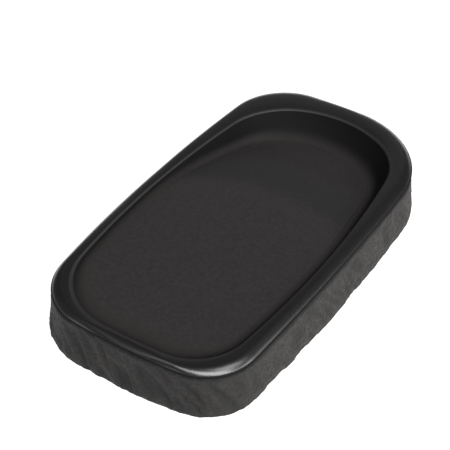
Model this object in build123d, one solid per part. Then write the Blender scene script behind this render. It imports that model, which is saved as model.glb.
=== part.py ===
"""A natural black ink stone: one block of slate with a hewn wall, a smooth rim, a flat land
for grinding and a slope that runs down from the land into an ink well.

Lengths are in millimetres. X runs across the stone, Y along it towards the well, Z up.
The origin is the middle of the flat underside.
"""

import os
from collections import Counter
from math import atan2, cos, degrees, radians, tan

from build123d import *

# The block, measured over the widest line of its wall
length = 136.0
width = 74.5
height = 17.0
near_left_radius = 20.8
near_right_radius = 18.2
far_right_radius = 34.3
far_left_radius = 20.8
corner_limit_share = 0.47
left_bulge = 3.9
right_bulge = 2.1
near_bulge = 3.3
far_bulge = 0.8

# The hewn wall swells a little below the rim and is broken away at its foot
wall_swell = 0.8
girth_height = 2.6
foot_break = 1.2

# The rim has a steep, narrow shoulder, rounded into a level crest
rim_rise = 2.0
rim_shoulder_width = 1.3
rim_round = 2.4
lip_round = 0.4

# The mouth of the hollow, measured in from the outer edge of the rim. It is widest between
# the sides and nearly a half circle at the well.
near_rim_width = 3.3
side_rim_width = 4.8
far_rim_width = 9.0
hollow_shift = -0.3
mouth_near_left_radius = 23.0
mouth_near_right_radius = 17.5
mouth_far_radius = 24.0
mouth_side_bulge = 4.4
mouth_near_bulge = 1.5
mouth_far_bulge = 12.0
mouth_corner_limit_share = 0.8

# The wall of the hollow comes in a little as it goes down: as a ramp at the near end, nearly
# upright at the sides, and at the far end as a steep curve that turns into the floor of the
# well. The well's floor lies a little left of its mouth.
near_run = 6.6
side_run = 2.4
far_run = 5.2
well_shift = -1.2
wall_depth_shares = (-0.2, 0.0, 0.3, 0.65, 1.0)
near_run_shares = (-0.15, 0.0, 0.3, 0.6, 1.0)
side_run_shares = (-0.3, 0.0, 0.5, 0.8, 1.0)
far_run_shares = (-0.1, 0.0, 0.2, 0.52, 1.0)
corner_shrink_share = 0.2
foot_round = 2.0

# The floor of the hollow, with its depths measured down from the crest of the rim
land_depth = 2.3
well_depth = 8.5
land_end = 11.6
land_end_radius = 56.0
land_end_shift = 1.5
land_end_round = 60.0
well_round = 40.0
slope_angle = 11.0
steepest_floor_angle = 20.0

# The places that follow from these sizes
edge_height = height - rim_rise
edge_half_width = width / 2 - wall_swell
edge_end = length / 2 - wall_swell
land_height = height - land_depth
well_height = height - well_depth


def bulged_outline(middle_x, half_width, near_y, far_y, bulges, radii):
    """A flat face inside four shallow arcs with rounded corners.

    bulges are how far the near end, the right side, the far end and the left side bow out.
    radii are those of the near left, near right, far right and far left corners.
    """
    near, right, far, left = bulges
    low_x, high_x = middle_x - half_width, middle_x + half_width
    middle_y = (near_y + far_y) / 2
    corners = [
        (low_x + left, near_y + near),
        (high_x - right, near_y + near),
        (high_x - right, far_y - far),
        (low_x + left, far_y - far),
    ]
    crowns = [(middle_x, near_y), (high_x, middle_y), (middle_x, far_y), (low_x, middle_y)]
    next_corners = corners[1:] + corners[:1]
    arcs = [ThreePointArc(*points) for points in zip(corners, crowns, next_corners)]
    face = make_face(Curve() + arcs)
    for (x, y), radius in zip(corners, radii):
        face = fillet(face.vertices().sort_by_distance((x, y, 0))[0], radius)
    return face


def girth_outline():
    """The widest outline of the block, seen from above."""
    radii = (near_left_radius, near_right_radius, far_right_radius, far_left_radius)
    return bulged_outline(
        0,
        width / 2,
        -length / 2,
        length / 2,
        (near_bulge, right_bulge, far_bulge, left_bulge),
        [min(radius, corner_limit_share * width) for radius in radii],
    )


def layer(face, thickness, inset):
    """A layer of the block on top of a face, that comes in evenly by an inset."""
    return extrude(face, thickness, taper=degrees(atan2(inset, thickness)))


def block():
    """The stone before it is hollowed: foot, hewn wall and rounded rim."""
    girth = girth_outline().faces()[0]
    foot = mirror(layer(girth, girth_height, foot_break), Plane.XY)
    wall = layer(girth, edge_height - girth_height, wall_swell)
    rim = layer(wall.faces().sort_by(Axis.Z)[-1], rim_rise, rim_shoulder_width)
    stone = Pos(0, 0, girth_height) * (foot + wall + rim)
    return fillet(stone.faces().sort_by(Axis.Z)[-1].edges(), rim_round)


def hollow_outline(depth_share, near_share, side_share, far_share):
    """The outline of the hollow's wall at a share of the well's depth.

    The other shares say how much of its run the wall has come in by at the near end, at the
    sides and at the far end.
    """
    half_width = edge_half_width - side_rim_width - side_run * side_share
    mouth_radii = (
        mouth_near_left_radius,
        mouth_near_right_radius,
        mouth_far_radius,
        mouth_far_radius,
    )
    shrink = 1 - corner_shrink_share * far_share
    largest = mouth_corner_limit_share * half_width
    return Pos(0, 0, height - well_depth * depth_share) * bulged_outline(
        hollow_shift + well_shift * far_share,
        half_width,
        near_rim_width + near_run * near_share - edge_end,
        edge_end - far_rim_width - far_run * far_share,
        (mouth_near_bulge, mouth_side_bulge, mouth_far_bulge, mouth_side_bulge),
        [min(radius * shrink, largest) for radius in mouth_radii],
    )


def bowl():
    """The hollow as if it were as deep as the well all over."""
    levels = zip(wall_depth_shares, near_run_shares, side_run_shares, far_run_shares)
    return loft([hollow_outline(*level) for level in levels])


def mound():
    """What stays standing in the bowl: the land, and the slope that falls away from it.

    It is turned about an upright axis, so that the land ends in an arc that bows towards
    the well.
    """
    reach = 2 * length
    slope_end = land_end_radius + well_depth_below_land() / tan(radians(slope_angle))
    profile = Polyline(
        (0, 0),
        (reach, 0),
        (reach, well_height),
        (slope_end, well_height),
        (land_end_radius, land_height),
        (0, land_height),
        close=True,
    )
    face = make_face(profile)
    for corner, radius in (
        ((land_end_radius, land_height, 0), land_end_round),
        ((slope_end, well_height, 0), well_round),
    ):
        face = fillet(face.vertices().sort_by_distance(corner)[0], radius)
    turned = revolve(Rot(90, 0, 0) * face, Axis.Z)
    return Pos(land_end_shift, land_end - land_end_radius, 0) * turned


def well_depth_below_land():
    """How far the slope falls from the land to the floor of the well."""
    return well_depth - land_depth


def hollow():
    """The space inside the rim, rounded where its wall meets its floor."""
    space = bowl() - mound()
    flattest = cos(radians(steepest_floor_angle))
    floors = [face for face in space.faces() if -face.normal_at().Z > flattest]
    times_used = Counter(edge for face in floors for edge in face.edges())
    foot = [edge for edge, times in times_used.items() if times == 1]
    return fillet(foot, foot_round)


def ink_stone():
    """The finished stone, with the sharp lip of its hollow eased."""
    solid_block, space = block(), hollow()
    stone = solid_block - space
    return fillet(new_edges(solid_block, space, combined=stone), lip_round)


os.makedirs("parts", exist_ok=True)
export_step(ink_stone(), "parts/ink_stone.step")
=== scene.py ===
"""An ink stone: one block of black slate with a hewn wall, a smooth rim, a flat land for
grinding and a slope that runs down from the land into an ink well.

Sizes in the classes are in millimetres. Meshes are made in metres, in the frame of the CAD
model: X across the stone, Y along it towards the well, Z up, the underside at zero.
"""

import logging
import math
import random
from dataclasses import dataclass
from enum import Enum
from typing import Callable, TypeVar

import bmesh
import bpy
from mathutils import Matrix, Vector, noise


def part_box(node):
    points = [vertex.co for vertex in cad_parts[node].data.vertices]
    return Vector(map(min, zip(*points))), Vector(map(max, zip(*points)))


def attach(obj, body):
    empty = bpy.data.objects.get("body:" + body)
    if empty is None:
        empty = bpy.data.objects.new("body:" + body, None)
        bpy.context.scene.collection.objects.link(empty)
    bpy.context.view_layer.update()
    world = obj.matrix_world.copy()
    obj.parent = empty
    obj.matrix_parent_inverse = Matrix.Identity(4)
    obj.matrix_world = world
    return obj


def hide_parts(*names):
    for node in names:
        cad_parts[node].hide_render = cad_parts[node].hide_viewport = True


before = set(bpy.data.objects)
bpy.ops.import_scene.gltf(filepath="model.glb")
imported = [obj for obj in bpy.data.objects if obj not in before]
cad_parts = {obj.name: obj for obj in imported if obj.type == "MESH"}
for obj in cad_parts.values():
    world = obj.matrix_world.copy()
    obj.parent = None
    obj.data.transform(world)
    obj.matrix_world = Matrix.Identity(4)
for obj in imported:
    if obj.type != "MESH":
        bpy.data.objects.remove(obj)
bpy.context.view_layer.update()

MM = 0.001
NODE = "ink_stone"
IMAGE_PIXELS = 450
# The vertex attribute that holds painted shade: how far the surface is turned black at a point,
# from zero to one
PAINTED_SHADE = "painted_shade"
# Points of the skin that lie closer together than this, in millimetres, become one
MERGE_DISTANCE = 0.02
# How often a search halves its range
HALVINGS = 30
# Half the range of the noise that shapes the skin, which lies evenly about zero
NOISE_REACH = 0.5
# The values between which nearly all of a material's noise lies
NOISE_LOW, NOISE_HIGH = 0.3, 0.7

Value = TypeVar("Value", float, Vector)
log = logging.getLogger("ink_stone")


class Zone(Enum):
    """How a band of the surface was worked. The value is the index of its material."""

    SAWN = 0
    HEWN = 1
    WAXED = 2
    CUT = 3
    GROUND = 4


@dataclass(frozen=True)
class Spot:
    """A point of the skin. painted_shade is how far painted shade turns the surface black there,
    from zero to one.
    """

    zone: Zone
    place: Vector
    painted_shade: float = 0.0


@dataclass(frozen=True)
class Circle:
    """A circle seen from above."""

    centre: Vector
    radius: float

    @classmethod
    def through(cls, start: Vector, middle: Vector, end: Vector) -> "Circle":
        """The circle through three points.

        Args:
            start: First point.
            middle: A point between the two others.
            end: Last point.

        Returns:
            The circle.
        """
        first, last = middle - start, end - start
        near, far = first.length_squared, last.length_squared
        turned = Vector((last.y * near - first.y * far, first.x * far - last.x * near))
        to_centre = turned / (2 * (first.x * last.y - first.y * last.x))
        return cls(start + to_centre, to_centre.length)

    def angle_to(self, point: Vector) -> float:
        """The direction of a point from the centre, in radians."""
        offset = point - self.centre
        return math.atan2(offset.y, offset.x)

    def rounding(self, other: "Circle", corner: Vector, radius: float) -> "Circle":
        """The circle that rounds the corner where this circle and another one cross.

        Args:
            other: The circle of the next side.
            corner: Where the two sides would meet.
            radius: Radius of the rounding.

        Returns:
            The rounding, which touches both circles from inside.
        """
        to_self, to_other = self.radius - radius, other.radius - radius
        line = other.centre - self.centre
        along = (line.length_squared + to_self**2 - to_other**2) / (2 * line.length)
        aside = math.sqrt(max(to_self**2 - along**2, 0.0))
        forward = line.normalized()
        foot = self.centre + forward * along
        left = Vector((-forward.y, forward.x)) * aside
        centres = sorted((foot + left, foot - left), key=lambda c: (c - corner).length)
        return Circle(centres[0], radius)


@dataclass(frozen=True)
class Outline:
    """Four shallow arcs with rounded corners, seen from above.

    bulges are how far the near end, the right side, the far end and the left side bow out.
    corner_radii are those of the near left, near right, far right and far left corners.
    """

    half_width: float
    near_y: float
    far_y: float
    bulges: tuple[float, float, float, float]
    corner_radii: tuple[float, float, float, float]
    middle_x: float = 0.0

    def places(
        self, side_steps: tuple[int, ...], corner_steps: tuple[int, ...]
    ) -> list[tuple[Vector, Vector]]:
        """Points round the outline, counter-clockwise from its near left corner.

        Args:
            side_steps: Steps on the near, right, far and left arc.
            corner_steps: Steps on the near left, near right, far right and far left corner.

        Returns:
            Pairs of a point and its outward direction.
        """
        near, right, far, left = self.bulges
        low_x, high_x = self.middle_x - self.half_width, self.middle_x + self.half_width
        middle_y = (self.near_y + self.far_y) / 2
        corners = [
            Vector((low_x + left, self.near_y + near)),
            Vector((high_x - right, self.near_y + near)),
            Vector((high_x - right, self.far_y - far)),
            Vector((low_x + left, self.far_y - far)),
        ]
        crowns = [
            Vector((self.middle_x, self.near_y)),
            Vector((high_x, middle_y)),
            Vector((self.middle_x, self.far_y)),
            Vector((low_x, middle_y)),
        ]
        sides = [
            Circle.through(corners[i], crowns[i], corners[(i + 1) % len(corners)])
            for i in range(len(corners))
        ]
        roundings = [
            sides[i - 1].rounding(sides[i], corners[i], self.corner_radii[i])
            for i in range(len(corners))
        ]
        found = []
        for i, side in enumerate(sides):
            before, after = roundings[i], roundings[(i + 1) % len(roundings)]
            turn_in = sides[i - 1].angle_to(before.centre)
            turn_out = side.angle_to(before.centre)
            found += arc_places(before, turn_in, turn_out, corner_steps[i])
            found += arc_places(side, turn_out, side.angle_to(after.centre), side_steps[i])
        return found


def arc_places(
    circle: Circle, start: float, end: float, steps: int
) -> list[tuple[Vector, Vector]]:
    """Points on an arc from start up to, but without, its end.

    Args:
        circle: The circle that the arc lies on.
        start: Angle of the first point, in radians.
        end: Angle of the end, in radians.
        steps: Number of points.

    Returns:
        Pairs of a point and its outward direction.
    """
    sweep = (end - start) % math.tau
    pairs = []
    for i in range(steps):
        angle = start + sweep * i / steps
        outward = Vector((math.cos(angle), math.sin(angle)))
        pairs.append((circle.centre + outward * circle.radius, outward))
    return pairs


def mix(start: Value, end: Value, share: float) -> Value:
    """The value or the place that lies a share of the way from start to end."""
    return start + (end - start) * share


def ease(share: float) -> float:
    """A share that starts and ends gently."""
    return share * share * (3 - 2 * share)


def bend(start: Vector, corner: Vector, end: Vector, share: float) -> Vector:
    """A point on the curve that rounds a corner, from start to end."""
    return mix(mix(start, corner, share), mix(corner, end, share), share)


def last_where(high: float, holds: Callable[[float], bool]) -> float:
    """Finds where a condition that holds at zero stops holding.

    Args:
        high: A value beyond that place.
        holds: The condition.

    Returns:
        The largest value at which it holds.
    """
    low = 0.0
    for _ in range(HALVINGS):
        middle = (low + high) / 2
        low, high = (middle, high) if holds(middle) else (low, middle)
    return low


def arc_fall(distance: float, radius: float) -> float:
    """How far an arc that starts level has fallen after a distance."""
    return radius - math.sqrt(radius**2 - distance**2)


@dataclass(frozen=True)
class HewnWall:
    """The rough wall: split and chiselled down to its foot, where chips have broken away.

    swells are how far it swells out at the middle of each corner and side, from the near left
    corner counter-clockwise. The chisel strokes are deep over a stretch of the way round, of
    which stroke_middle is the middle and stroke_spread half the length. There, at the near end,
    painted shade darkens the wall, by at least least_stroke_shade and most in the stroke hollows.
    stroke_elsewhere and stroke_shade_elsewhere are the strokes' depth and painted shade on the
    rest of the wall, where they fade out over stroke_fade towards the corner at which the two
    ways round meet. A groove, whose shape is given as shares of its height and its depth, parts
    the wall from the rim.
    """

    swells: tuple[float, ...] = (1.8, 1.3, 0.9, 1.5, 1.4, 0.7, 0.8, 0.7)
    swell_drift: float = 0.25
    girth_height: float = 2.6
    chip_length: tuple[float, float] = (2.0, 7.0)
    chip_height: tuple[float, float] = (0.3, 1.3)
    chip_inset: tuple[float, float] = (0.1, 0.6)
    chip_blend: float = 1.6
    stroke_angle: float = math.radians(57.0)
    stroke_width: float = 3.0
    stroke_length: float = 15.0
    stroke_depth: float = 0.85
    stroke_contrast: float = 2.2
    stroke_middle: float = 48.0
    stroke_spread: float = 50.0
    stroke_steepness: int = 4
    stroke_elsewhere: float = 0.2
    stroke_fade: float = 12.0
    least_stroke_shade: float = 0.6
    stroke_shade_elsewhere: float = 0.8
    scallop_depth: float = 0.35
    scallop_size: float = 6.0
    grit_depth: float = 0.2
    grit_size: float = 1.0
    grit_smoothness: float = 1.0
    grit_fineness: float = 2.0
    grit_layers: int = 3
    foot_rough_share: float = 0.35
    fade_height: float = 3.5
    top_smooth_share: float = 0.6
    top_smooth_steepness: int = 4
    groove_depth: float = 0.55
    groove_height: float = 1.1
    groove_shape: tuple[tuple[float, float], ...] = ((0.45, 1.0), (0.9, 0.7))
    chip_rows: int = 6
    wall_rows: int = 24
    seed: int = 7

    def chips(self, perimeter: float) -> list[tuple[float, float, float]]:
        """The chips along the foot of the wall.

        Args:
            perimeter: Length of the way round the stone.

        Returns:
            For each chip where it starts along the way round, its height and its inset.
        """
        dice = random.Random(self.seed)
        found, start = [], 0.0
        while start < perimeter:
            found.append((start, dice.uniform(*self.chip_height), dice.uniform(*self.chip_inset)))
            start += dice.uniform(*self.chip_length)
        return found

    def chip_at(
        self, chips: list[tuple[float, float, float]], way: float
    ) -> tuple[float, float]:
        """How the foot of the wall is broken at a place.

        Args:
            chips: All the chips.
            way: How far round the stone the place lies.

        Returns:
            Height and inset of the broken foot.
        """
        index = max(i for i, chip in enumerate(chips) if chip[0] <= way)
        here, before = chips[index], chips[index - 1]
        share = ease(min((way - here[0]) / self.chip_blend, 1.0))
        return mix(before[1], here[1], share), mix(before[2], here[2], share)

    def strokes(self, place: Vector, way: float, half: float) -> tuple[float, float]:
        """The chisel strokes, which are deepest on the near end of the stone, and their painted
        shade.

        Args:
            place: The place on the smooth wall.
            way: How far round the stone it lies, from the near left corner either way.
            half: Half the way round.

        Returns:
            Depth of the strokes and their painted shade, both as shares.
        """
        across = way * math.sin(self.stroke_angle) + place.z * math.cos(self.stroke_angle)
        along = way * math.cos(self.stroke_angle) - place.z * math.sin(self.stroke_angle)
        lane = Vector((across / self.stroke_width, along / self.stroke_length, 0.0))
        pattern = min(abs(noise.noise(lane)) * self.stroke_contrast, 1.0)
        from_middle = (way - self.stroke_middle) / self.stroke_spread
        near = math.exp(-(from_middle**self.stroke_steepness))
        fade = min((half - abs(way)) / self.stroke_fade, 1.0)
        depth = pattern * max(near, self.stroke_elsewhere * fade)
        # Painted shade: the near end of the wall is darkened, most of all in the stroke hollows.
        painted_shade = mix(self.least_stroke_shade, 1.0, pattern) * near
        return depth, max(painted_shade, pattern * self.stroke_shade_elsewhere * fade)

    def roughness(self, place: Vector, stroke: float) -> float:
        """How deep the tools cut into the wall.

        Args:
            place: The place on the smooth wall.
            stroke: Depth of the chisel strokes there, as a share.

        Returns:
            The depth, from zero inwards.
        """
        scallops = noise.noise(place / self.scallop_size) + NOISE_REACH
        grit = NOISE_REACH + noise.fractal(
            place / self.grit_size, self.grit_smoothness, self.grit_fineness, self.grit_layers
        )
        cut = stroke * self.stroke_depth + scallops * self.scallop_depth + grit * self.grit_depth
        fade = mix(self.foot_rough_share, 1.0, min(place.z / self.fade_height, 1.0))
        return max(cut, 0.0) * fade


@dataclass(frozen=True)
class Rim:
    """The smooth rim: a tight edge, a broad shoulder, a crest that falls inwards, a lip.

    The edge and the foot of the shoulder, as far up as dull_and_shaded_rows, are cut and left
    unwaxed, and painted black as a line of painted shade along the rim's edge.
    """

    rise: float = 2.0
    edge_round: float = 0.05
    steepest_angle: float = math.radians(56.0)
    shoulder: float = 1.8
    shoulder_share: float = 0.3
    fall_angle: float = math.radians(5.0)
    lip: float = 0.42
    near_lip: float = 0.6
    least_crest: float = 0.21
    edge_rows: int = 5
    shoulder_rows: int = 11
    dull_and_shaded_rows: int = 7
    crest_rows: int = 8
    lip_rows: int = 5

    def shoulder_end(self, reach: float) -> float:
        """Inset at which the shoulder reaches the crest, on a rim as wide as reach."""
        return min(self.shoulder + self.shoulder_share * reach, reach - self.least_crest)

    def steepest(self, end: float) -> float:
        """Angle at which a shoulder of a width runs into the tight edge, in radians.

        Args:
            end: Width of edge and shoulder together.

        Returns:
            The angle at which two arcs, tight and broad, make up the rim's whole rise.
        """

        def too_low(turn: float) -> bool:
            """Whether two arcs that meet at an angle end below the rim's crest."""
            width = end - self.edge_round * (1 - math.sin(turn))
            return self.edge_round * math.cos(turn) + width * math.tan(turn / 2) < self.rise

        return min(last_where(math.pi / 2, too_low), self.steepest_angle)

    def shoulder_places(self, end: float) -> list[tuple[float, float]]:
        """The points up the edge and the shoulder.

        Args:
            end: Width of edge and shoulder together.

        Returns:
            Their insets from the outer edge and their drops below the crest.
        """
        turn = self.steepest(end)
        start = self.edge_round * (1 - math.sin(turn))
        broad = (end - start) / math.sin(turn)
        rise = self.edge_round * math.cos(turn) + broad * (1 - math.cos(turn))
        places = []
        for row in range(self.edge_rows):
            angle = mix(math.pi / 2, turn, row / self.edge_rows)
            inset = self.edge_round * (1 - math.sin(angle))
            places.append((inset, rise - self.edge_round * math.cos(angle)))
        for row in range(self.shoulder_rows):
            angle = mix(turn, 0.0, row / self.shoulder_rows)
            places.append((end - broad * math.sin(angle), broad * (1 - math.cos(angle))))
        return places

    def crest_drop(self, inset: float, reach: float) -> float:
        """How far the crest has fallen towards the hollow at an inset from the outer edge."""
        end = self.shoulder_end(reach)
        return (inset - end) ** 2 / (2 * (reach - end)) * math.tan(self.fall_angle)


@dataclass(frozen=True)
class Hollow:
    """The hollow inside the rim: its wall, the land, the slope and the floor of the well.

    On its way down its wall comes in by a run, at the near end, the sides and the far end. The
    start shares say how fast it does so at its top, where one is an even slope. The floor's
    rows go from the foot of the wall, where they lie closer together, to the spine, which is
    the hollow's middle line.
    """

    near_rim_width: float = 3.0
    side_rim_width: float = 4.5
    far_rim_width: float = 9.0
    shift: float = -0.3
    corner_radii: tuple[float, float, float, float] = (23.0, 17.5, 24.0, 24.0)
    bulges: tuple[float, float, float, float] = (1.5, 4.4, 12.0, 4.4)
    near_run: float = 6.6
    side_run: float = 2.4
    far_run: float = 5.2
    well_shift: float = -1.2
    near_start_share: float = 2.0
    side_start_share: float = 1.5
    far_start_share: float = 0.65
    corner_shrink_share: float = 0.2
    foot_round: float = 2.6
    near_foot_round: float = 4.5
    foot_round_share: float = 0.6
    # Painted shade on the lip, wall and foot of the hollow, weaker at the near end.
    near_hollow_shade: float = 0.3
    # Painted shade on the slope, darkest a little below the land.
    slope_painted_shade: float = 0.75
    slope_darkest_share: float = 0.35
    land_depth: float = 2.3
    well_depth: float = 8.5
    land_end: float = 11.6
    land_end_radius: float = 56.0
    land_end_shift: float = 1.5
    land_end_round: float = 60.0
    well_round: float = 40.0
    slope_angle: float = math.radians(11.0)
    spine_near: float = -38.0
    spine_far: float = 30.0
    floor_spread: float = 1.25
    stations: int = 40
    wall_rows: int = 14
    foot_rows: int = 8
    floor_rows: int = 34

    def run(self, depth_share: float, start_share: float) -> float:
        """The share of its run that the wall has come in by at a share of the depth."""
        return start_share * depth_share + (1 - start_share) * depth_share**2

    def outline(self, edge: Outline, depth_share: float) -> Outline:
        """The outline of the hollow's wall at a share of the well's depth.

        Args:
            edge: Outline of the rim's outer edge.
            depth_share: Depth below the crest as a share of the well's.

        Returns:
            The outline there.
        """
        near = self.run(depth_share, self.near_start_share)
        side = self.run(depth_share, self.side_start_share)
        far = self.run(depth_share, self.far_start_share)
        shrink = 1 - self.corner_shrink_share * far
        return Outline(
            half_width=edge.half_width - self.side_rim_width - self.side_run * side,
            near_y=edge.near_y + self.near_rim_width + self.near_run * near,
            far_y=edge.far_y - self.far_rim_width - self.far_run * far,
            bulges=self.bulges,
            corner_radii=tuple(radius * shrink for radius in self.corner_radii),
            middle_x=self.shift + self.well_shift * far,
        )

    def floor_depth(self, x: float, y: float) -> float:
        """How deep the land, the slope or the well's floor lies.

        Args:
            x: Place across the stone.
            y: Place along it.

        Returns:
            The depth below the crest of the rim.
        """
        fall = self.well_depth - self.land_depth
        start = self.land_end_radius
        end = start + fall / math.tan(self.slope_angle)
        break_length = self.land_end_round * math.tan(self.slope_angle / 2)
        well_length = self.well_round * math.tan(self.slope_angle / 2)
        away = math.hypot(x - self.land_end_shift, y - self.land_end + start)
        level = math.cos(self.slope_angle)
        if away < start - break_length:
            return self.land_depth
        if away < start + break_length * level:
            inside = away - start + break_length
            return self.land_depth + arc_fall(inside, self.land_end_round)
        if away < end - well_length * level:
            return self.land_depth + (away - start) * math.tan(self.slope_angle)
        if away < end + well_length:
            return self.well_depth - arc_fall(end + well_length - away, self.well_round)
        return self.well_depth


@dataclass
class InkStone:
    """The stone as one skin, wrapped round it from the middle of its underside to its land.

    The skin is a grid. Its columns go round the stone, and its rows go from the middle of the
    underside out to the foot, up the wall, over the rim and down into the hollow.
    """

    low: Vector
    high: Vector
    wall: HewnWall = HewnWall()
    rim: Rim = Rim()
    hollow: Hollow = Hollow()
    girth_swell: float = 0.8
    near_inset: float = 0.4
    right_inset: float = 0.6
    corner_radii: tuple[float, float, float, float] = (20.0, 16.4, 33.5, 20.0)
    bulges: tuple[float, float, float, float] = (3.3, 2.1, 0.8, 3.9)
    wave_height: float = 0.05
    wave_length: float = 14.0
    side_steps: tuple[int, ...] = (66, 168, 44, 168)
    corner_steps: tuple[int, ...] = (46, 46, 78, 50)
    underside_rows: int = 6

    def __post_init__(self) -> None:
        """Works out the overall sizes and the outline of the rim's outer edge."""
        size = (self.high - self.low) / MM
        self.height = size.z
        self.edge_height = self.height - self.rim.rise
        self.edge = Outline(
            half_width=size.x / 2 - self.girth_swell - self.right_inset / 2,
            near_y=self.girth_swell + self.near_inset - size.y / 2,
            far_y=size.y / 2 - self.girth_swell,
            bulges=self.bulges,
            corner_radii=self.corner_radii,
            middle_x=-self.right_inset / 2,
        )
        self.edge_places = self.edge.places(self.side_steps, self.corner_steps)
        self.ways, self.perimeter = self.measure_way_round()
        self.chip_list = self.wall.chips(self.perimeter)
        self.stations = [
            self.hollow.outline(self.edge, i / self.hollow.stations).places(
                self.side_steps, self.corner_steps
            )
            for i in range(self.hollow.stations + 1)
        ]

    def measure_way_round(self) -> tuple[list[float], float]:
        """Measures the way round the stone along the rim's edge.

        Returns:
            The distance from its first point to each point, and that of the whole way.
        """
        ways, way = [], 0.0
        for i, (point, _) in enumerate(self.edge_places):
            ways.append(way)
            following = self.edge_places[(i + 1) % len(self.edge_places)][0]
            way += (following - point).length
        return ways, way

    def swell(self, column: int) -> float:
        """The swell of the wall at its girth.

        Args:
            column: Number of the column.

        Returns:
            How far the wall stands out there.
        """
        middles, start = [], 0
        for corner, side in zip(self.corner_steps, self.side_steps):
            middles += [start + corner / 2, start + corner + side / 2]
            start += corner + side
        index = max((i for i, middle in enumerate(middles) if middle <= column), default=-1)
        before = middles[index] - (start if index < 0 else 0)
        after = middles[index + 1] if index + 1 < len(middles) else middles[0] + start
        share = ease((column - before) / (after - before))
        following = self.wall.swells[(index + 1) % len(self.wall.swells)]
        return mix(self.wall.swells[index], following, share)

    def spine(self, y: float) -> Vector:
        """The point of the hollow's middle line nearest to a y."""
        within = min(max(y, self.hollow.spine_near), self.hollow.spine_far)
        return Vector((self.hollow.shift, within))

    def wall_spot(self, column: int, z: float, inset: float, rough: float = 1.0) -> Spot:
        """A point of the hewn wall.

        Args:
            column: Number of the column.
            z: Height of the point.
            inset: How far a chip has set it back.
            rough: Share of the tools' roughness that it takes.

        Returns:
            The point.
        """
        edge, outward = self.edge_places[column]
        down = (self.edge_height - z) / (self.edge_height - self.wall.girth_height)
        drift = noise.noise(Vector((edge.x, edge.y, z)) / self.wave_length) - NOISE_REACH
        out = self.swell(column) + drift * self.wall.swell_drift
        flat = edge + outward * (out * min(down, 1.0) - inset)
        place = Vector((flat.x, flat.y, z))
        way, half = self.ways[column], self.perimeter / 2
        depth, painted_shade = self.wall.strokes(place, way if way < half else way - 2 * half, half)
        flat -= outward * self.wall.roughness(place, depth) * rough
        return Spot(Zone.HEWN, Vector((flat.x, flat.y, z)), painted_shade)

    def rim_reach(self, column: int) -> float:
        """Width of the rim in a column."""
        return (self.stations[0][column][0] - self.edge_places[column][0]).length

    def lip(self, column: int) -> float:
        """Size of the lip's rounding in a column. It is softest at the near end."""
        return mix(self.rim.lip, self.rim.near_lip, self.nearness(column))

    def foot_round(self, column: int) -> float:
        """Size of the rounding at the foot of the hollow's wall. It is softest at the near end."""
        return mix(self.hollow.foot_round, self.hollow.near_foot_round, self.nearness(column))

    def nearness(self, column: int) -> float:
        """Share that falls from one at the near end to nothing at the sides."""
        return max(-self.edge_places[column][1].y, 0.0) ** 2

    def crest_end(self, column: int) -> float:
        """Inset at which the crest ends and the lip begins in a column."""
        reach = self.rim_reach(column)
        return max(reach - self.lip(column), self.rim.shoulder_end(reach))

    def rim_place(self, column: int, inset: float, drop: float) -> Vector:
        """A point of the rim.

        Args:
            column: Number of the column.
            inset: How far inside the outer edge it lies.
            drop: How far below the crest it lies.

        Returns:
            The point.
        """
        share = inset / self.rim_reach(column)
        flat = mix(self.edge_places[column][0], self.stations[0][column][0], share)
        return Vector((flat.x, flat.y, self.height - drop))

    def hollow_place(self, column: int, depth_share: float) -> Vector:
        """A point of the hollow's wall.

        Args:
            column: Number of the column.
            depth_share: Depth below the crest as a share of the well's.

        Returns:
            The point.
        """
        position = min(max(depth_share, 0.0), 1.0) * self.hollow.stations
        index = min(int(position), self.hollow.stations - 1)
        flat = mix(
            self.stations[index][column][0],
            self.stations[index + 1][column][0],
            position - index,
        )
        return Vector((flat.x, flat.y, self.height - depth_share * self.hollow.well_depth))

    def floor_place(self, flat: Vector) -> Vector:
        """The point of the land, the slope or the well's floor at a place seen from above."""
        return Vector((flat.x, flat.y, self.height - self.hollow.floor_depth(flat.x, flat.y)))

    def foot_share(self, column: int) -> float:
        """Finds where the hollow's wall meets its floor.

        Args:
            column: Number of the column.

        Returns:
            The depth there, as a share of the well's.
        """

        def above_floor(share: float) -> bool:
            """Whether the wall is still above the floor at a share of the well's depth."""
            place = self.hollow_place(column, share)
            return share * self.hollow.well_depth < self.hollow.floor_depth(place.x, place.y)

        return last_where(1.0, above_floor)

    def column_spots(self, column: int) -> list[Spot]:
        """All the points of one column, from the middle of the underside to that of the land."""
        return self.wall_spots(column) + self.rim_spots(column) + self.hollow_spots(column)

    def wall_spots(self, column: int) -> list[Spot]:
        """The points of one column over the underside and up the hewn wall.

        Args:
            column: Number of the column.

        Returns:
            The points, up to the groove under the rim.
        """
        height, inset = self.wall.chip_at(self.chip_list, self.ways[column])
        edge, outward = self.edge_places[column]
        foot = self.wall_spot(column, 0.0, inset).place
        middle = Vector((0.0, self.spine(edge.y).y, 0.0))
        spots = []
        for row in range(self.underside_rows):
            spots.append(Spot(Zone.SAWN, mix(middle, foot, row / self.underside_rows)))
        for row in range(self.wall.chip_rows):
            share = row / self.wall.chip_rows
            spots.append(self.wall_spot(column, height * share, inset * (1 - share)))
        top = self.edge_height - self.wall.groove_height
        for row in range(self.wall.wall_rows + 1):
            share = row / self.wall.wall_rows
            rough = 1.0 - self.wall.top_smooth_share * share**self.wall.top_smooth_steepness
            spots.append(self.wall_spot(column, mix(height, top, share), 0.0, rough))
        for up, inward in self.wall.groove_shape:
            flat = edge - outward * self.wall.groove_depth * inward
            z = top + self.wall.groove_height * up
            # The groove is painted black as painted shade.
            spots.append(Spot(Zone.CUT, Vector((flat.x, flat.y, z)), 1.0))
        return spots

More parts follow.
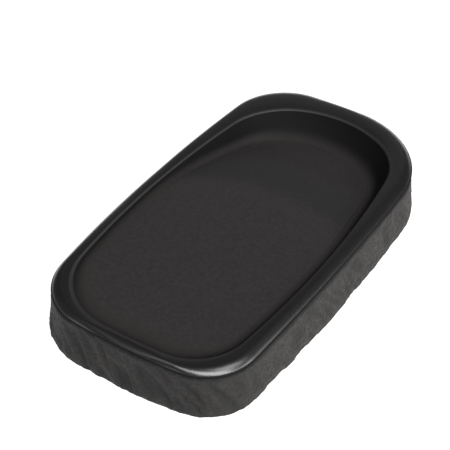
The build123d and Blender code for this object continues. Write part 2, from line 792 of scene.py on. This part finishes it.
    def rim_spots(self, column: int) -> list[Spot]:
        """The points of one column over the rim, up to where the lip starts to turn down.

        Args:
            column: Number of the column.

        Returns:
            The points.
        """
        reach = self.rim_reach(column)
        start, end = self.rim.shoulder_end(reach), self.crest_end(column)
        profile = self.rim.shoulder_places(start)
        for row in range(self.rim.crest_rows):
            inset = mix(start, end, row / self.rim.crest_rows)
            profile.append((inset, self.rim.crest_drop(inset, reach)))
        spots = []
        for row, point in enumerate(profile):
            # The edge rows are dull and painted black as painted shade.
            dull = row < self.rim.dull_and_shaded_rows
            place = self.waved(self.rim_place(column, *point))
            spots.append(Spot(Zone.CUT, place, 1.0) if dull else Spot(Zone.WAXED, place))
        return spots

    def hollow_spots(self, column: int) -> list[Spot]:
        """The points of one column from the lip down the hollow's wall and over its floor.

        Args:
            column: Number of the column.

        Returns:
            The points.
        """
        reach, start = self.rim_reach(column), self.crest_end(column)
        lip_start = self.rim_place(column, start, self.rim.crest_drop(start, reach))
        fall = self.rim.crest_drop(reach, reach)
        lip_corner = self.hollow_place(column, fall / self.hollow.well_depth)
        lip_share = (self.lip(column) + self.height - lip_corner.z) / self.hollow.well_depth
        lip_end = self.hollow_place(column, lip_share)
        foot_share = self.foot_share(column)
        foot = self.hollow_place(column, foot_share)
        foot_round = self.foot_round(column)
        most = self.hollow.foot_round_share * (foot_share - lip_share)
        before = foot_share - min(foot_round / self.hollow.well_depth, most)
        foot_start = self.hollow_place(column, before)
        spine = self.spine(foot.y)
        inward = (spine - foot.xy).normalized()
        foot_end = self.floor_place(foot.xy + inward * foot_round)
        # Painted shade: the lip, the wall and its foot are painted black, less at the near end and
        # fading out over the foot.
        painted_shade = mix(1.0, self.hollow.near_hollow_shade, self.nearness(column))
        spots = []
        for row in range(self.rim.lip_rows):
            place = bend(lip_start, lip_corner, lip_end, row / self.rim.lip_rows)
            spots.append(Spot(Zone.GROUND, self.waved(place), painted_shade))
        for row in range(self.hollow.wall_rows):
            share = row / self.hollow.wall_rows
            place = self.hollow_place(column, mix(lip_share, before, share))
            spots.append(Spot(Zone.CUT, self.waved(place), painted_shade))
        for row in range(self.hollow.foot_rows):
            share = row / self.hollow.foot_rows
            place = bend(foot_start, foot, foot_end, share)
            spots.append(Spot(Zone.CUT, self.waved(place), painted_shade * (1 - ease(share))))
        for row in range(self.hollow.floor_rows + 1):
            share = (row / self.hollow.floor_rows) ** self.hollow.floor_spread
            place = self.floor_place(mix(foot_end.xy, spine, share))
            spots.append(Spot(Zone.GROUND, self.waved(place), self.slope_painted_shade(place)))
        return spots

    def slope_painted_shade(self, place: Vector) -> float:
        """How far painted shade darkens the floor. It is blackest a little below the land.

        Args:
            place: A point of the floor.

        Returns:
            Its painted shade, from zero to one.
        """
        fallen = self.height - place.z - self.hollow.land_depth
        share = fallen / (self.hollow.well_depth - self.hollow.land_depth)
        start = ease(min(share / self.hollow.slope_darkest_share, 1.0))
        return self.hollow.slope_painted_shade * start * (1 - share)

    def waved(self, place: Vector) -> Vector:
        """A point of a hand-ground face, set down by the face's slight unevenness."""
        wave = noise.noise(place / self.wave_length) + NOISE_REACH
        return place - Vector((0.0, 0.0, max(wave, 0.0) * self.wave_height))

    def build(self) -> bpy.types.Object:
        """Makes the stone's mesh from a flat grid, which spans -1 to 1 both ways.

        Returns:
            The finished object.
        """
        columns = [self.column_spots(i) for i in range(len(self.edge_places))]
        rows = len(columns[0])
        mesh = bmesh.new()
        painted_shade = mesh.verts.layers.float.new(PAINTED_SHADE)
        bmesh.ops.create_grid(mesh, x_segments=len(columns), y_segments=rows - 1, size=1.0)
        for face in mesh.faces:
            row = int((face.calc_center_median().y + 1) / 2 * (rows - 1))
            face.material_index = columns[0][row].zone.value
            face.smooth = True
        for vertex in mesh.verts:
            column = round((vertex.co.x + 1) / 2 * len(columns)) % len(columns)
            row = round((vertex.co.y + 1) / 2 * (rows - 1))
            vertex.co = columns[column][row].place * MM
            vertex[painted_shade] = columns[column][row].painted_shade
        bmesh.ops.remove_doubles(mesh, verts=mesh.verts, dist=MERGE_DISTANCE * MM)
        bmesh.ops.recalc_face_normals(mesh, faces=mesh.faces)
        data = bpy.data.meshes.new(NODE + "_skin")
        mesh.to_mesh(data)
        mesh.free()
        stone = bpy.data.objects.new(NODE + "_skin", data)
        bpy.context.collection.objects.link(stone)
        return stone


def linear(hex_colour: str) -> tuple[float, float, float, float]:
    """Turns an sRGB hex colour into a linear one, as the sRGB standard gives it.

    Args:
        hex_colour: The colour, as in #1f1d1d.

    Returns:
        Red, green, blue and alpha.
    """
    values = [int(hex_colour[i : i + 2], 16) / 255 for i in (1, 3, 5)]
    turned = [v / 12.92 if v <= 0.04045 else ((v + 0.055) / 1.055) ** 2.4 for v in values]
    return (*turned, 1.0)


def add_node(
    tree: bpy.types.NodeTree,
    kind: str,
    settings: dict[str | int, object] | None = None,
    **links: bpy.types.NodeSocket,
) -> bpy.types.Node:
    """Adds a node with its settings and the links into it.

    Args:
        tree: Node tree that gets the node.
        kind: Blender's name for the node type.
        settings: Values by property name, or by socket name or number for an input.
        links: Output sockets by the name of the input, with spaces as underscores, or by
            its number after an i.

    Returns:
        The new node.
    """
    node = tree.nodes.new(kind)
    for name, value in (settings or {}).items():
        if isinstance(name, int) or name in node.inputs:
            node.inputs[name].default_value = value
        else:
            setattr(node, name, value)
    for name, socket in links.items():
        key = int(name[1:]) if name[0] == "i" and name[1:].isdigit() else name.replace("_", " ")
        tree.links.new(socket, node.inputs[key])
    return node


@dataclass(frozen=True)
class SlateFinish:
    """Black slate worked in one way.

    dark and light are the colours of its mottle. Where painted shade lies on the surface, from its
    attribute or from the band of painted shade below the rim, it turns black, with a roughness of
    its own. shade_below_rim gives the heights where that band begins and where it is full.
    """

    name: str
    dark: str
    light: str
    mottle_size: float
    grain_size: float
    grain_height: float
    roughness: tuple[float, float]
    specular: float
    black: str = "#121111"
    black_roughness: float = 0.7
    shade_below_rim: tuple[float, float] | None = None
    mottle_detail: float = 4.0
    mottle_sharpness: float = 0.6
    grain_detail: float = 3.0
    grain_sharpness: float = 0.55
    refraction: float = 1.5

    def material(self) -> bpy.types.Material:
        """Makes the material.

        Returns:
            A material whose patterns read Object coordinates, in metres.
        """
        made = bpy.data.materials.new(self.name)
        made.use_nodes = True
        tree = made.node_tree
        tree.nodes.clear()
        place = add_node(tree, "ShaderNodeTexCoord").outputs["Object"]
        painted_shade = self.painted_shade(tree, place)
        mottle = add_node(
            tree, "ShaderNodeTexNoise",
            {
                "Scale": 1 / (self.mottle_size * MM),
                "Detail": self.mottle_detail,
                "Roughness": self.mottle_sharpness,
            },
            Vector=place,
        ).outputs["Fac"]
        grain = add_node(
            tree, "ShaderNodeTexNoise",
            {
                "Scale": 1 / (self.grain_size * MM),
                "Detail": self.grain_detail,
                "Roughness": self.grain_sharpness,
            },
            Vector=place,
        ).outputs["Fac"]
        lightness = add_node(
            tree, "ShaderNodeMapRange",
            {"From Min": NOISE_LOW, "From Max": NOISE_HIGH},
            Value=mottle,
        ).outputs["Result"]
        shade = add_node(
            tree, "ShaderNodeMix",
            {"data_type": "RGBA", 6: linear(self.dark), 7: linear(self.light)},
            i0=lightness,
        ).outputs[2]
        # Painted shade turns the mottled colour black.
        shade = add_node(
            tree, "ShaderNodeMix",
            {"data_type": "RGBA", 7: linear(self.black)},
            i0=painted_shade, i6=shade,
        ).outputs[2]
        least_rough, most_rough = self.roughness
        rough = add_node(
            tree, "ShaderNodeMapRange",
            {
                "From Min": NOISE_LOW, "From Max": NOISE_HIGH,
                "To Min": least_rough, "To Max": most_rough,
            },
            Value=grain,
        ).outputs["Result"]
        rough = add_node(
            tree, "ShaderNodeMix",
            {"data_type": "FLOAT", 3: self.black_roughness},
            i0=painted_shade, i2=rough,
        ).outputs[0]
        bump = add_node(
            tree, "ShaderNodeBump",
            {"Strength": 1.0, "Distance": self.grain_height * MM},
            Height=grain,
        ).outputs["Normal"]
        shader = add_node(
            tree, "ShaderNodeBsdfPrincipled",
            {"Specular IOR Level": self.specular, "IOR": self.refraction},
            Base_Color=shade, Roughness=rough, Normal=bump,
        )
        add_node(tree, "ShaderNodeOutputMaterial", Surface=shader.outputs["BSDF"])
        return made

    def painted_shade(
        self, tree: bpy.types.NodeTree, place: bpy.types.NodeSocket
    ) -> bpy.types.NodeSocket:
        """Adds the nodes that say how far painted shade turns the surface black.

        Args:
            tree: Node tree of the material.
            place: Output with the Object coordinates.

        Returns:
            Output with the painted shade, from zero to one.
        """
        # Painted shade from the skin's attribute.
        cut = add_node(
            tree, "ShaderNodeAttribute", {"attribute_name": PAINTED_SHADE}
        ).outputs["Fac"]
        if self.shade_below_rim is None:
            return cut
        # A band of painted shade on the top of the hewn wall, under the rim, full towards the
        # groove.
        start, end = self.shade_below_rim
        height = add_node(tree, "ShaderNodeSeparateXYZ", Vector=place).outputs["Z"]
        shaded_below_rim = add_node(
            tree, "ShaderNodeMapRange",
            {"From Min": start * MM, "From Max": end * MM},
            Value=height,
        ).outputs["Result"]
        return add_node(
            tree, "ShaderNodeMath", {"operation": "MAXIMUM"}, i0=shaded_below_rim, i1=cut
        ).outputs["Value"]


# Sawn slate: flat, dull and greyer than the ground faces, as on the underside. All the grains
# and mottles here are coarser than real slate's, which is too fine to show.
SAWN_SLATE = SlateFinish(
    name="slate_sawn", dark="#2e2c2b", light="#3d3a39", mottle_size=6.0,
    grain_size=0.5, grain_height=0.05, roughness=(0.6, 0.75), specular=0.35,
)
# Hewn slate: broken grains catch the light, so it looks greyer. Its chisel strokes are dull.
# Painted shade turns the near end and the stroke hollows black, and a band of painted shade
# darkens the wall's top under the rim.
HEWN_SLATE = SlateFinish(
    name="slate_hewn", dark="#090808", light="#3e3a37", mottle_size=1.1,
    grain_size=0.7, grain_height=0.45, roughness=(0.55, 0.8), specular=0.4,
    black="#0d0c0c", shade_below_rim=(11.5, 14.4),
)
# Waxed slate: rubbed smooth and waxed, near black with a satin gloss, as on the rim.
WAXED_SLATE = SlateFinish(
    name="slate_waxed", dark="#0e0d0d", light="#121111", mottle_size=1.6,
    grain_size=0.3, grain_height=0.006, roughness=(0.27, 0.31), specular=0.95,
    black_roughness=0.5,
)
# Cut slate: gouged out and dull, as in the groove, on the edge below the rim and on the wall
# of the hollow. There it is painted black as painted shade, which fades out towards the foot
# of the hollow's wall, where it turns as grey as the ground slate.
CUT_SLATE = SlateFinish(
    name="slate_cut", dark="#292626", light="#2d2a2a", mottle_size=1.2,
    grain_size=0.4, grain_height=0.01, roughness=(0.6, 0.7), specular=0.12,
    black="#0e0d0d", black_roughness=0.7,
)
# Ground slate: rubbed with a fine stone and left bare, so black with a dull sheen and a
# faint mottle, as on the lip and the floor of the hollow. Painted shade turns the lip black
# and darkens the slope a little below the land.
GROUND_SLATE = SlateFinish(
    name="slate_ground", dark="#1f1d1d", light="#2a2727", mottle_size=1.2,
    grain_size=0.3, grain_height=0.010, roughness=(0.40, 0.48), specular=0.6,
)
FINISHES = {
    Zone.SAWN: SAWN_SLATE,
    Zone.HEWN: HEWN_SLATE,
    Zone.WAXED: WAXED_SLATE,
    Zone.CUT: CUT_SLATE,
    Zone.GROUND: GROUND_SLATE,
}


@dataclass(frozen=True)
class Lamp:
    """A soft light that faces the stone.

    Its angles are in degrees, its distance and size in metres and its power in watts.
    """

    name: str
    azimuth: float
    elevation: float
    distance: float
    width: float
    height: float
    power: float

    def build(self, target: Vector) -> bpy.types.Object:
        """Hangs the lamp.

        Args:
            target: The place that it faces.

        Returns:
            The lamp's object.
        """
        light = bpy.data.lights.new(self.name, "AREA")
        light.shape = "RECTANGLE"
        light.size = self.width
        light.size_y = self.height
        light.energy = self.power
        lamp = bpy.data.objects.new(self.name, light)
        bpy.context.collection.objects.link(lamp)
        back = direction(self.azimuth, self.elevation)
        lamp.matrix_world = facing(target + back * self.distance, back)
        return lamp


def direction(azimuth: float, elevation: float) -> Vector:
    """The direction from the stone to a viewer.

    Args:
        azimuth: Degrees round the stone from its near end, counter-clockwise.
        elevation: Degrees above the horizon.

    Returns:
        The direction, of length one.
    """
    turn, rise = math.radians(azimuth), math.radians(elevation)
    return Vector((
        math.sin(turn) * math.cos(rise),
        -math.cos(turn) * math.cos(rise),
        math.sin(rise),
    ))


def facing(place: Vector, back: Vector) -> Matrix:
    """The place and turn of a camera or lamp that looks against a direction."""
    turn = back.to_track_quat("Z", "Y").to_matrix().to_4x4()
    return Matrix.Translation(place) @ turn


@dataclass(frozen=True)
class Studio:
    """Camera, lamps, world and floor.

    The camera's angles are in degrees. Its other sizes are in millimetres, but for the focal
    length, which is in pixels of the picture. The floor's size is in metres.
    """

    azimuth: float = 33.24
    elevation: float = 40.29
    distance: float = 380.0
    aim: tuple[float, float, float] = (-3.62, -7.21, 14.88)
    focal_pixels: float = 1246.0
    sensor: float = 36.0
    near_clip: float = 10.0
    floor_size: float = 4.0
    floor_grey: float = 0.4
    floor_glow: float = 0.85
    room_light: float = 0.08
    lamps: tuple[Lamp, ...] = (
        Lamp("key", 44.0, 49.0, 1.2, 1.0, 0.5, 13.0),
        Lamp("front", -6.0, 45.0, 1.3, 0.5, 0.4, 3.0),
        Lamp("side", 111.0, 26.0, 1.3, 0.4, 0.5, 3.0),
        Lamp("top", 100.0, 68.0, 1.2, 0.5, 0.5, 3.5),
        Lamp("right", 78.0, 19.0, 1.4, 0.9, 0.9, 12.5),
        Lamp("left", -60.0, 35.0, 1.6, 1.5, 1.5, 0.4),
        Lamp("back", -150.0, 25.0, 1.5, 1.3, 0.7, 0.5),
    )

    def add_camera(self) -> None:
        """Adds the camera at the photograph's angle."""
        camera = bpy.data.cameras.new("camera")
        camera.sensor_width = self.sensor
        camera.sensor_height = self.sensor
        camera.lens = self.focal_pixels * self.sensor / IMAGE_PIXELS
        camera.clip_start = self.near_clip * MM
        viewer = bpy.data.objects.new("camera", camera)
        bpy.context.collection.objects.link(viewer)
        back = direction(self.azimuth, self.elevation)
        aim = Vector(self.aim) * MM
        viewer.matrix_world = facing(aim + back * self.distance * MM, back)
        bpy.context.scene.camera = viewer

    def add_floor(self) -> None:
        """Adds a pale floor that shows white to the camera and keeps the stone's shadow."""
        mesh = bmesh.new()
        bmesh.ops.create_grid(mesh, x_segments=1, y_segments=1, size=self.floor_size / 2)
        data = bpy.data.meshes.new("floor")
        mesh.to_mesh(data)
        mesh.free()
        floor = bpy.data.objects.new("floor", data)
        bpy.context.collection.objects.link(floor)
        made = bpy.data.materials.new("floor_paper")
        made.use_nodes = True
        tree = made.node_tree
        tree.nodes.clear()
        path = add_node(tree, "ShaderNodeLightPath").outputs
        seen = path["Is Camera Ray"]
        for ray in ("Is Glossy Ray", "Is Transmission Ray"):
            seen = add_node(
                tree, "ShaderNodeMath", {"operation": "MAXIMUM"}, i0=seen, i1=path[ray]
            ).outputs["Value"]
        strength = add_node(
            tree, "ShaderNodeMath", {"operation": "MULTIPLY", 1: self.floor_glow}, i0=seen
        ).outputs["Value"]
        grey = (self.floor_grey, self.floor_grey, self.floor_grey, 1.0)
        paper = add_node(tree, "ShaderNodeBsdfDiffuse", {"Color": grey})
        glow = add_node(tree, "ShaderNodeEmission", Strength=strength)
        shader = add_node(
            tree, "ShaderNodeAddShader",
            i0=paper.outputs["BSDF"], i1=glow.outputs["Emission"],
        ).outputs["Shader"]
        add_node(tree, "ShaderNodeOutputMaterial", Surface=shader)
        data.materials.append(made)

    def add_world(self) -> None:
        """Adds the plain grey room that the stone reflects."""
        world = bpy.data.worlds.new("room")
        bpy.context.scene.world = world
        world.use_nodes = True
        tree = world.node_tree
        tree.nodes.clear()
        back = add_node(
            tree, "ShaderNodeBackground",
            {"Color": (1.0, 1.0, 1.0, 1.0), "Strength": self.room_light},
        )
        add_node(tree, "ShaderNodeOutputWorld", Surface=back.outputs["Background"])

    def build(self) -> None:
        """Sets the whole studio up."""
        self.add_camera()
        self.add_floor()
        self.add_world()
        for lamp in self.lamps:
            lamp.build(Vector((0.0, 0.0, 0.0)))
        bpy.context.scene.view_settings.view_transform = "Standard"


def main() -> None:
    """Builds the studio and the stone."""
    logging.basicConfig(level=logging.INFO, format="%(name)s: %(message)s")
    Studio().build()
    log.info("studio: camera, floor, room and lamps")
    low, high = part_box(NODE)
    stone = InkStone(low, high).build()
    for zone in Zone:
        stone.data.materials.append(FINISHES[zone].material())
    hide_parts(NODE)
    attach(stone, "root")
    log.info("stone: %d faces", len(stone.data.polygons))


if __name__ == "__main__":
    main()
